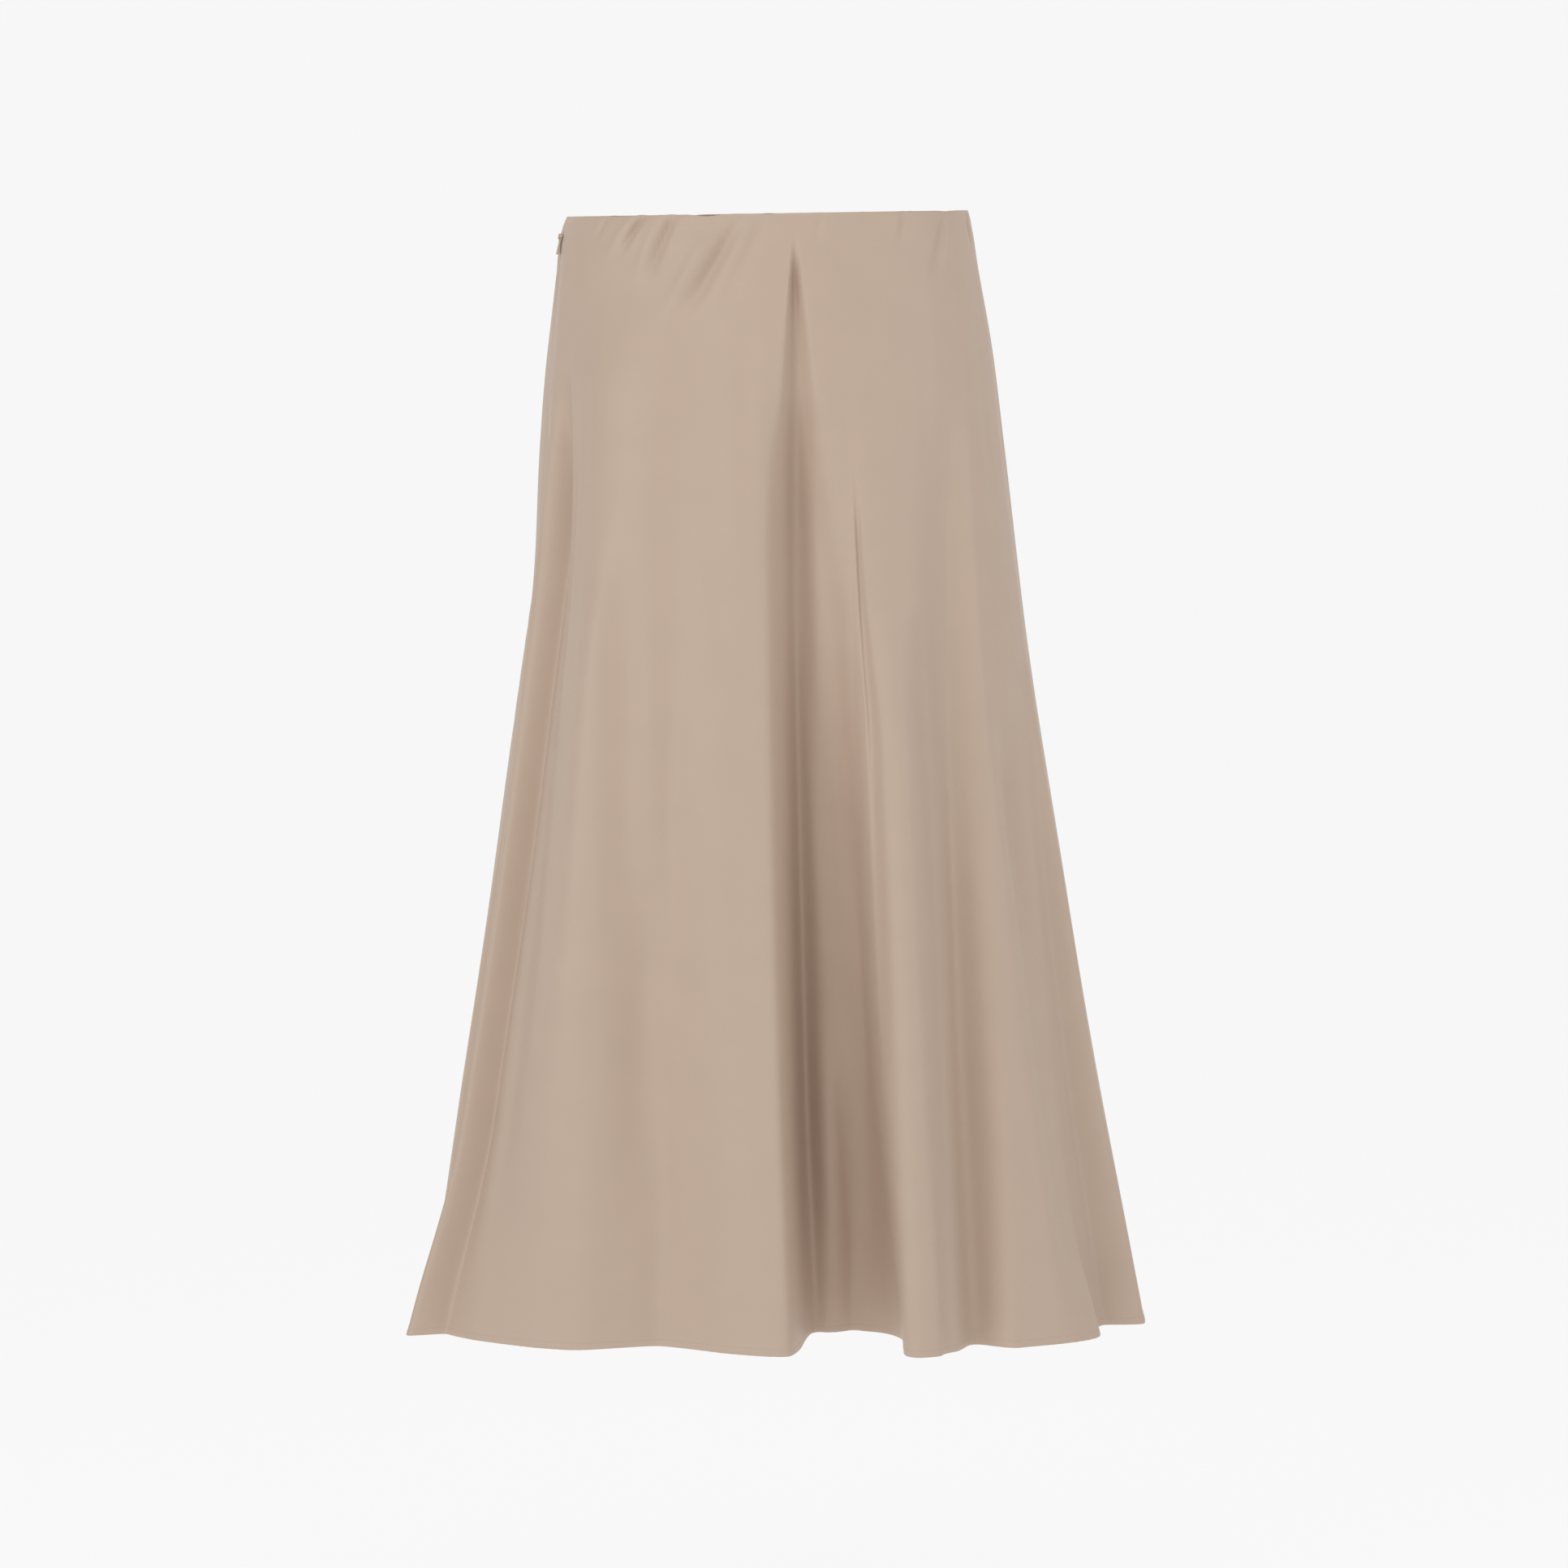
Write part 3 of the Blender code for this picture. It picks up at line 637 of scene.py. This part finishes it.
def zip_coil(surface):
    """The closed zip's two coils behind the tape, one a half turn ahead of the other."""
    turns = (COIL_BOTTOM - COIL_TOP) / COIL_PITCH
    turn = np.linspace(0.0, turns, int(turns * COIL_TURN_POINTS))
    drop = COIL_TOP + turn * COIL_PITCH
    seam = bearing_at(np.array(float(LEFT_SEAM)), drop)
    centre = plain_point(seam, drop)
    ahead = plain_point(seam + SLOPE_SPAN, drop) - plain_point(seam - SLOPE_SPAN, drop)
    down = plain_point(seam, drop + DROP_SPAN) - plain_point(seam, drop - DROP_SPAN)
    out = np.cross(down, ahead)
    out = out / np.linalg.norm(out, axis=-1, keepdims=True)
    front = ahead / np.linalg.norm(ahead, axis=-1, keepdims=True)
    depth = TAPE_BACK + COIL_WIRE + COIL_DEEP
    paths = []
    for side, phase in ((1, 0.0), (-1, 0.5)):
        angle = 2 * np.pi * (turn + phase)
        across = side * (COIL_ACROSS * COIL_MIDDLE + COIL_ACROSS * np.cos(angle))
        deep = -depth + COIL_DEEP * np.sin(angle)
        paths.append(centre + front * across[:, None] + out * deep[:, None])
    path = np.array(paths)
    along = np.gradient(path, axis=1)
    along = along / np.linalg.norm(along, axis=-1, keepdims=True)
    side = np.cross(along, down / np.linalg.norm(down, axis=-1, keepdims=True))
    side = side / np.linalg.norm(side, axis=-1, keepdims=True)
    up = np.cross(side, along)
    radius = np.full(path.shape[:2], COIL_WIRE)
    return tubes("zip_coil", path, side, up, radius, COIL_SIDES, surface)


# ---------------------------------------------------------------------------------------
# Materials.


class Surface:
    """A node material built up call by call."""

    def __init__(self, name, **sockets):
        self.material = bpy.data.materials.new(name)
        self.material.use_nodes = True
        self.nodes = self.material.node_tree.nodes
        self.links = self.material.node_tree.links
        self.shader = self.nodes["Principled BSDF"]
        for socket, value in sockets.items():
            self.shader.inputs[socket.replace("_", " ")].default_value = value

    def node(self, kind, **settings):
        made = self.nodes.new(kind)
        for name, value in settings.items():
            setattr(made, name, value)
        return made

    def link(self, source, target):
        self.links.new(source, target)

    def pattern(self, turn=0.0, stretch=(1.0, 1.0, 1.0)):
        """The flat pattern's coordinates in metres, turned and stretched."""
        uv = self.node("ShaderNodeUVMap", uv_map="pattern")
        mapping = self.node("ShaderNodeMapping")
        mapping.inputs["Rotation"].default_value = (0.0, 0.0, turn)
        mapping.inputs["Scale"].default_value = stretch
        self.link(uv.outputs["UV"], mapping.inputs["Vector"])
        return mapping.outputs["Vector"]

    def place(self, stretch=(1.0, 1.0, 1.0)):
        """The object's own coordinates in metres, stretched."""
        coordinate = self.node("ShaderNodeTexCoord")
        mapping = self.node("ShaderNodeMapping")
        mapping.inputs["Scale"].default_value = stretch
        self.link(coordinate.outputs["Object"], mapping.inputs["Vector"])
        return mapping.outputs["Vector"]

    def noise(self, vector, scale, detail=2.0, roughness=0.5):
        made = self.node("ShaderNodeTexNoise")
        made.inputs["Scale"].default_value = scale
        made.inputs["Detail"].default_value = detail
        made.inputs["Roughness"].default_value = roughness
        self.link(vector, made.inputs["Vector"])
        return made.outputs["Fac"]

    def wave(self, vector, scale, distortion=0.0, direction="X"):
        made = self.node("ShaderNodeTexWave", bands_direction=direction)
        made.inputs["Scale"].default_value = scale
        made.inputs["Distortion"].default_value = distortion
        self.link(vector, made.inputs["Vector"])
        return made.outputs["Fac"]

    def ramp(self, factor, low, high):
        """A colour or value between two ends."""
        made = self.node("ShaderNodeMix", data_type="RGBA")
        made.inputs["A"].default_value = low
        made.inputs["B"].default_value = high
        self.link(factor, made.inputs["Factor"])
        return made.outputs["Result"]

    def span(self, factor, low, high):
        made = self.node("ShaderNodeMapRange")
        made.inputs["To Min"].default_value = low
        made.inputs["To Max"].default_value = high
        self.link(factor, made.inputs["Value"])
        return made.outputs["Result"]

    def bumps(self, *layers):
        """Bumps one over the other: each a height, its distance in metres and a strength."""
        normal = None
        for height, distance, strength in layers:
            made = self.node("ShaderNodeBump")
            made.inputs["Distance"].default_value = distance
            made.inputs["Strength"].default_value = strength
            self.link(height, made.inputs["Height"])
            if normal:
                self.link(normal, made.inputs["Normal"])
            normal = made.outputs["Normal"]
        self.link(normal, self.shader.inputs["Normal"])

    def feed(self, value, socket):
        self.link(value, self.shader.inputs[socket])


SATIN = (0.535, 0.4115, 0.3225)
SATIN_BACK = (0.50, 0.38, 0.30)
TAPE = (0.46, 0.35, 0.27)
ENAMEL = (0.50, 0.38, 0.29)

BIAS = math.radians(45)
BACK_SLANT = 0.35
# A thread's pitch in metres, and how many of the Wave texture's bands fit a unit.
THREAD = 0.00022
BANDS = 2 * math.pi / 20


def tinted(colour, factor):
    return (*(channel * factor for channel in colour), 1.0)


def satin_face():
    """The smooth side: long floats along the bias threads, with a soft, low sheen."""
    surface = Surface(
        "satin_face",
        Roughness=0.46,
        Specular_IOR_Level=0.34,
        Sheen_Weight=0.12,
        Sheen_Roughness=0.45,
        Sheen_Tint=(1.0, 0.93, 0.86, 1.0),
        Anisotropic=0.25,
    )
    floats = surface.noise(surface.pattern(BIAS, (0.16, 1.0, 1.0)), 1 / (3 * THREAD), 2.0, 0.6)
    rows = surface.wave(surface.pattern(BIAS), BANDS / (2 * THREAD), 0.6, "Y")
    clouds = surface.noise(surface.pattern(BIAS, (1.0, 1.6, 1.0)), 22.0, 3.0, 0.55)
    surface.feed(surface.ramp(clouds, tinted(SATIN, 0.97), tinted(SATIN, 1.03)), "Base Color")
    surface.feed(surface.span(floats, 0.42, 0.52), "Roughness")
    surface.bumps((floats, 0.00004, 0.35), (rows, 0.00002, 0.25))
    return surface.material


def satin_back():
    """The dull side inside the skirt, with the satin's fine diagonal showing."""
    surface = Surface("satin_back", Roughness=0.72, Specular_IOR_Level=0.25, Sheen_Weight=0.1)
    rows = surface.wave(surface.pattern(BIAS + BACK_SLANT), BANDS / (2 * THREAD), 0.8, "Y")
    grain = surface.noise(surface.pattern(BIAS, (0.5, 1.0, 1.0)), 1 / (4 * THREAD), 2.0, 0.6)
    shade = surface.ramp(grain, tinted(SATIN_BACK, 0.94), tinted(SATIN_BACK, 1.05))
    surface.feed(shade, "Base Color")
    surface.bumps((rows, 0.00003, 0.3), (grain, 0.00004, 0.35))
    return surface.material


def sewing_thread():
    """Spun thread, a little shinier than the cloth, with its twist."""
    surface = Surface("sewing_thread", Roughness=0.5, Sheen_Weight=0.15)
    twist = surface.wave(surface.place(), BANDS / 0.0004, 1.0, "DIAGONAL")
    surface.feed(surface.ramp(twist, tinted(SATIN, 0.90), tinted(SATIN, 1.04)), "Base Color")
    surface.bumps((twist, 0.00003, 0.5))
    return surface.material


def coil_nylon():
    """The coil's nylon, dyed to match, smooth with slight wear on its crests."""
    surface = Surface("coil_nylon", Roughness=0.4)
    wear = surface.noise(surface.place(), 1200.0, 2.0)
    surface.feed(surface.ramp(wear, tinted(TAPE, 0.95), tinted(TAPE, 1.1)), "Base Color")
    surface.feed(surface.span(wear, 0.34, 0.5), "Roughness")
    return surface.material


def tape_weave():
    """Close herringbone of the zip's tape."""
    surface = Surface("zip_tape_weave", Roughness=0.85, Sheen_Weight=0.15)
    ribs = surface.wave(surface.place(), BANDS / 0.0007, 0.3, "Z")
    cross = surface.wave(surface.place(), BANDS / 0.0005, 0.3, "Y")
    grain = surface.noise(surface.place(), 900.0, 2.0)
    surface.feed(surface.ramp(grain, tinted(TAPE, 0.92), tinted(TAPE, 1.06)), "Base Color")
    surface.bumps((ribs, 0.00006, 0.5), (cross, 0.00005, 0.4))
    return surface.material


def enamelled_metal():
    """Dyed-to-match enamel over metal: nearly smooth, with fine scuffs."""
    surface = Surface("zip_enamel", Metallic=0.15, Roughness=0.36, Coat_Weight=0.2)
    flow = surface.noise(surface.place(), 420.0, 2.0)
    scuffs = surface.noise(surface.place((1.0, 1.0, 0.2)), 2600.0, 3.0, 0.6)
    surface.feed(surface.ramp(flow, tinted(ENAMEL, 0.95), tinted(ENAMEL, 1.05)), "Base Color")
    surface.feed(surface.span(scuffs, 0.30, 0.46), "Roughness")
    surface.bumps((flow, 0.00004, 0.4), (scuffs, 0.00001, 0.4))
    return surface.material


# ---------------------------------------------------------------------------------------
# Studio.

# The photograph's own frame in pixels, the lens in the same pixels, and the sensor in mm.
PHOTO_SIZE = 1932
FOCAL_PIXELS = 6986
SENSOR = 36.0
CAMERA_PLACE = (0.012, -4.0, 0.0)
CAMERA_DIP = 5.75

FLOOR_DROP = 1.10
SWEEP_FRONT = -7.0
SWEEP_BEND = 3.2
SWEEP_RADIUS = 2.4
SWEEP_TOP = 4.5
SWEEP_HALF_WIDTH = 7.0
SWEEP_STEPS = 32
SWEEP_ALBEDO = 0.15
SWEEP_GLOW = 0.838

WORLD_STRENGTH = 0.397
Lamp = namedtuple("Lamp", "name x y z size watts")
LAMPS = (
    Lamp("left_front", -2.0, -3.2, 0.8, 1.6, 16.4),
    Lamp("left", -3.0, -2.6, 0.2, 1.0, 19.1),
    Lamp("top", 0.0, -1.2, 2.6, 1.6, 26.9),
    Lamp("right", 3.0, -1.5, 0.6, 1.6, 15.6),
    Lamp("back_right", 3.2, 1.2, 0.6, 1.6, 5.1),
    Lamp("low_front", -0.6, -4.0, -0.7, 1.2, 6.4),
)
LAMP_TARGET = (0.0, 0.0, -0.4)


def studio_sweep():
    """A pale floor that bends up into the backdrop."""
    profile = [(SWEEP_FRONT, -FLOOR_DROP)]
    for turn in np.linspace(0.0, np.pi / 2, SWEEP_STEPS):
        y = SWEEP_BEND + SWEEP_RADIUS * math.sin(turn)
        z = -FLOOR_DROP + SWEEP_RADIUS * (1.0 - math.cos(turn))
        profile.append((y, z))
    profile.append((SWEEP_BEND + SWEEP_RADIUS, SWEEP_TOP))
    points = [(side * SWEEP_HALF_WIDTH, y, z) for y, z in profile for side in (-1, 1)]
    faces = [(2 * k, 2 * k + 1, 2 * k + 3, 2 * k + 2) for k in range(len(profile) - 1)]
    mesh = bpy.data.meshes.new("studio_sweep")
    mesh.from_pydata(points, [], faces)
    mesh.shade_smooth()
    paper = Surface(
        "sweep_paper",
        Roughness=0.95,
        Specular_IOR_Level=0.0,
        Emission_Color=(1.0, 1.0, 1.0, 1.0),
        Emission_Strength=SWEEP_GLOW,
    )
    grain = paper.noise(paper.place(), 60.0, 2.0)
    low = tinted((SWEEP_ALBEDO,) * 3, 0.99)
    high = tinted((SWEEP_ALBEDO,) * 3, 1.01)
    paper.feed(paper.ramp(grain, low, high), "Base Color")
    mesh.materials.append(paper.material)
    place("studio_sweep", mesh)


def studio_lamps():
    for lamp in LAMPS:
        light = bpy.data.lights.new(lamp.name, "AREA")
        light.size = lamp.size
        light.energy = lamp.watts
        obj = bpy.data.objects.new(lamp.name, light)
        obj.location = (lamp.x, lamp.y, lamp.z)
        aim = Vector(LAMP_TARGET) - obj.location
        obj.rotation_euler = aim.to_track_quat("-Z", "Y").to_euler()
        bpy.context.scene.collection.objects.link(obj)
    world = bpy.data.worlds.new("studio")
    world.use_nodes = True
    world.node_tree.nodes["Background"].inputs["Color"].default_value = (1.0, 1.0, 1.0, 1.0)
    world.node_tree.nodes["Background"].inputs["Strength"].default_value = WORLD_STRENGTH
    bpy.context.scene.world = world


def studio_camera():
    lens = bpy.data.cameras.new("camera")
    lens.sensor_width = SENSOR
    lens.lens = FOCAL_PIXELS / PHOTO_SIZE * SENSOR
    obj = bpy.data.objects.new("camera", lens)
    obj.location = CAMERA_PLACE
    obj.rotation_euler = (math.radians(90.0 - CAMERA_DIP), 0.0, 0.0)
    bpy.context.scene.collection.objects.link(obj)
    bpy.context.scene.camera = obj
    bpy.context.scene.view_settings.view_transform = "Standard"


# ---------------------------------------------------------------------------------------
# The skirt put together.


def dress_skirt():
    face = satin_face()
    back = satin_back()
    thread = sewing_thread()
    panels = (
        ("front", LEFT_SEAM, RIGHT_SEAM, FRONT_COLUMNS),
        ("back", RIGHT_SEAM, LEFT_SEAM + 360.0, BACK_COLUMNS),
    )
    for name, first, last, columns in panels:
        grid = cloth_grid(first, last, columns)
        cloth = cloth_panel(name + "_cloth", grid, face, back)
        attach(cloth, "skirt")
        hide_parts(name + "_panel")
        stitches = hem_stitches(name + "_hem_stitches", grid, thread)
        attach(stitches, "skirt")


def dress_zip():
    coil = zip_coil(coil_nylon())
    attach(coil, "skirt")
    weave = tape_weave()
    enamel = enamelled_metal()
    for node, surface in (("zip_tape", weave), ("zip_slider", enamel), ("zip_pull", enamel)):
        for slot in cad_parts[node].material_slots:
            slot.material = surface


dress_skirt()
dress_zip()
studio_sweep()
studio_lamps()
studio_camera()


def corners(box):
    return [[float(value) for value in corner] for corner in box]
